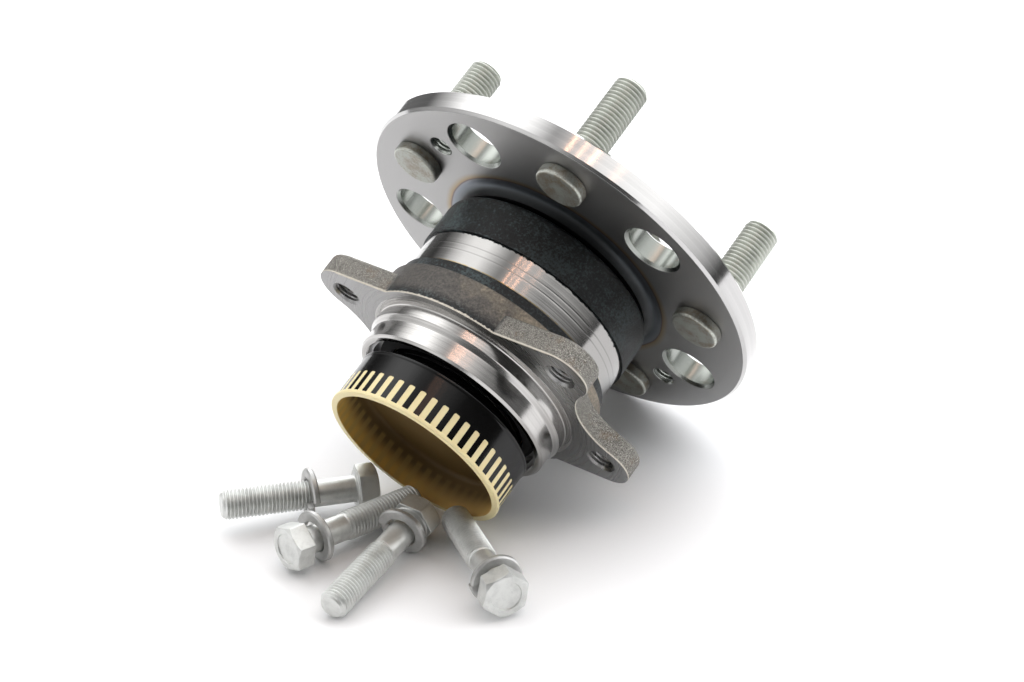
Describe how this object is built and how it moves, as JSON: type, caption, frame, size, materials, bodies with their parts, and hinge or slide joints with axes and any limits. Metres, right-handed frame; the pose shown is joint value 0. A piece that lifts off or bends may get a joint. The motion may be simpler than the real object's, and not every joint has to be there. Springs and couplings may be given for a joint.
{
  "type": "wheel hub",
  "caption": "Flanged wheel hub on a double-row ball bearing, with wheel studs, a four-eared outer ring, a slotted tone ring and its loose mounting bolts.",
  "frame": {"origin": "on the spin axis, in the outboard face of the wheel flange", "axes": "+Y along the spin axis, outboard towards the wheel; +Z the short way between the ears' holes, up; +X across the ears"},
  "size_m": [0.1472, 0.1845, 0.1472],
  "materials": {
    "machined_steel": "turned, satin",
    "zinc_steel": "passivated zinc",
    "bearing_steel": "ground",
    "ball_steel": "polished",
    "black_coat": "gloss black",
    "cream_nylon": "moulded, slightly translucent",
    "forged_steel": "forging scale with machined faces",
    "seal_steel": "pressed sheet",
    "seal_rubber": "matt",
    "cage_nylon": "moulded",
    "flake_zinc": "zinc flake",
    "spring_steel": "zinc flake"
  },
  "bodies": {
    "fixed_ring": {"outer_ring": "forged_steel", "outboard_seal_case": "seal_steel", "outboard_seal_lip": "seal_rubber", "inboard_seal_case": "seal_steel", "inboard_seal_lip": "seal_rubber", "mounting_bolt_1": "flake_zinc", "mounting_bolt_2": "flake_zinc", "mounting_bolt_3": "flake_zinc", "mounting_bolt_4": "flake_zinc", "spring_washer_1": "spring_steel", "spring_washer_2": "spring_steel", "spring_washer_3": "spring_steel", "spring_washer_4": "spring_steel"},
    "hub": {"hub_flange": "machined_steel", "wheel_stud_1": "zinc_steel", "wheel_stud_2": "zinc_steel", "wheel_stud_3": "zinc_steel", "wheel_stud_4": "zinc_steel", "wheel_stud_5": "zinc_steel", "inner_ring": "bearing_steel", "tone_ring": "black_coat", "tone_ring_cup": "cream_nylon"},
    "outboard_row": {"outboard_cage": "cage_nylon", "outboard_balls": "ball_steel"},
    "inboard_row": {"inboard_cage": "cage_nylon", "inboard_balls": "ball_steel"}
  },
  "joints": [
    {"name": "hub_spin", "type": "hinge", "parent": "fixed_ring", "child": "hub", "pos_m": [0, 0, 0], "axis": [0, 1, 0], "continuous": true},
    {"name": "outboard_row_spin", "type": "hinge", "parent": "fixed_ring", "child": "outboard_row", "pos_m": [0, -0.0275, 0], "axis": [0, 1, 0], "continuous": true},
    {"name": "inboard_row_spin", "type": "hinge", "parent": "fixed_ring", "child": "inboard_row", "pos_m": [0, -0.0575, 0], "axis": [0, 1, 0], "continuous": true}
  ],
  "couplings": [
    {"joint": "outboard_row_spin", "follows": "hub_spin", "ratio": 0.41},
    {"joint": "inboard_row_spin", "follows": "hub_spin", "ratio": 0.41}
  ]
}
